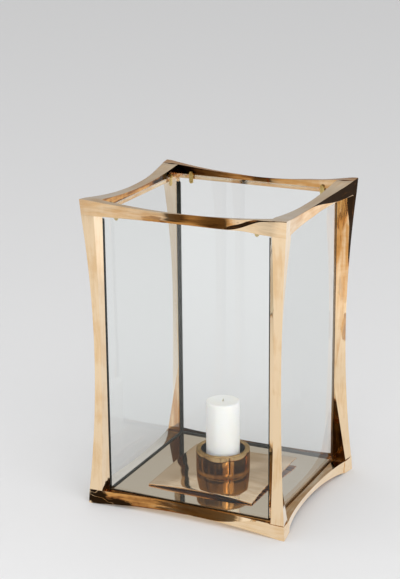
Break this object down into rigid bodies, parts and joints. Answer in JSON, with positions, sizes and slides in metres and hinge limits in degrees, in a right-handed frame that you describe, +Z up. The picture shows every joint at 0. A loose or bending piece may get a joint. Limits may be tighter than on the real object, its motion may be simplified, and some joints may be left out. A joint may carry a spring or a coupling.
{
  "type": "hurricane candle lantern",
  "caption": "Box-shaped hurricane lantern: glass panes in a polished bronze frame with drawn-in edges, open at the top, with a pillar candle in a cup on a loose tray.",
  "frame": {"origin": "on the ground plane under the middle of the lantern", "axes": "X along the front, Y from front to back, Z up"},
  "size_m": [0.433, 0.38, 0.64],
  "materials": {
    "bronze": "polished, rose bronze",
    "floor_bronze": "mirror polished, pale bronze",
    "brass": "satin",
    "steel": "zinc plated",
    "clear_glass": "clear, flat",
    "rubber": "matt black",
    "wax": "white candle wax, soft sheen",
    "cotton": "braided cotton, waxed"
  },
  "bodies": {
    "frame": {"post_front_left": "bronze", "post_front_right": "bronze", "post_back_left": "bronze", "post_back_right": "bronze", "top_rail_front": "bronze", "top_rail_back": "bronze", "top_rail_left": "bronze", "top_rail_right": "bronze", "bottom_rail_front": "bronze", "bottom_rail_back": "bronze", "bottom_rail_left": "bronze", "bottom_rail_right": "bronze", "corner_studs": "steel", "rail_dowels": "steel", "base_plate": "floor_bronze", "base_screws": "brass", "pane_front": "clear_glass", "pane_back": "clear_glass", "pane_left": "clear_glass", "pane_right": "clear_glass", "glazing_bead_front": "rubber", "glazing_bead_back": "rubber", "glazing_bead_left": "rubber", "glazing_bead_right": "rubber", "corner_seal_front_left": "rubber", "corner_seal_front_right": "rubber", "corner_seal_back_left": "rubber", "corner_seal_back_right": "rubber", "clip_screws": "brass"},
    "tray": {"star_tray": "bronze", "candle_cup": "bronze"},
    "pillar_candle": {"candle": "wax", "wick": "cotton"},
    "turn_clip_front_left": {"clip_front_left": "brass"},
    "turn_clip_front_right": {"clip_front_right": "brass"},
    "turn_clip_back_left": {"clip_back_left": "brass"},
    "turn_clip_back_right": {"clip_back_right": "brass"},
    "turn_clip_left_front": {"clip_left_front": "brass"},
    "turn_clip_left_back": {"clip_left_back": "brass"},
    "turn_clip_right_front": {"clip_right_front": "brass"},
    "turn_clip_right_back": {"clip_right_back": "brass"}
  },
  "joints": [
    {"name": "tray_lift", "type": "slide", "parent": "frame", "child": "tray", "axis": [0, 0, 1], "range_m": [0, 0.62]},
    {"name": "candle_lift", "type": "slide", "parent": "tray", "child": "pillar_candle", "axis": [0, 0, 1], "range_m": [0, 0.62]},
    {"name": "turn_front_left", "type": "hinge", "parent": "frame", "child": "turn_clip_front_left", "pos_m": [-0.148, -0.1665, 0.62], "axis": [0, 1, 0], "range_deg": [-90, 90]},
    {"name": "turn_front_right", "type": "hinge", "parent": "frame", "child": "turn_clip_front_right", "pos_m": [0.148, -0.1665, 0.62], "axis": [0, 1, 0], "range_deg": [-90, 90]},
    {"name": "turn_back_left", "type": "hinge", "parent": "frame", "child": "turn_clip_back_left", "pos_m": [-0.148, 0.1665, 0.62], "axis": [0, -1, 0], "range_deg": [-90, 90]},
    {"name": "turn_back_right", "type": "hinge", "parent": "frame", "child": "turn_clip_back_right", "pos_m": [0.148, 0.1665, 0.62], "axis": [0, -1, 0], "range_deg": [-90, 90]},
    {"name": "turn_left_front", "type": "hinge", "parent": "frame", "child": "turn_clip_left_front", "pos_m": [-0.178, -0.13, 0.62], "axis": [1, 0, 0], "range_deg": [-90, 90]},
    {"name": "turn_left_back", "type": "hinge", "parent": "frame", "child": "turn_clip_left_back", "pos_m": [-0.178, 0.13, 0.62], "axis": [1, 0, 0], "range_deg": [-90, 90]},
    {"name": "turn_right_front", "type": "hinge", "parent": "frame", "child": "turn_clip_right_front", "pos_m": [0.178, -0.13, 0.62], "axis": [-1, 0, 0], "range_deg": [-90, 90]},
    {"name": "turn_right_back", "type": "hinge", "parent": "frame", "child": "turn_clip_right_back", "pos_m": [0.178, 0.13, 0.62], "axis": [-1, 0, 0], "range_deg": [-90, 90]}
  ]
}
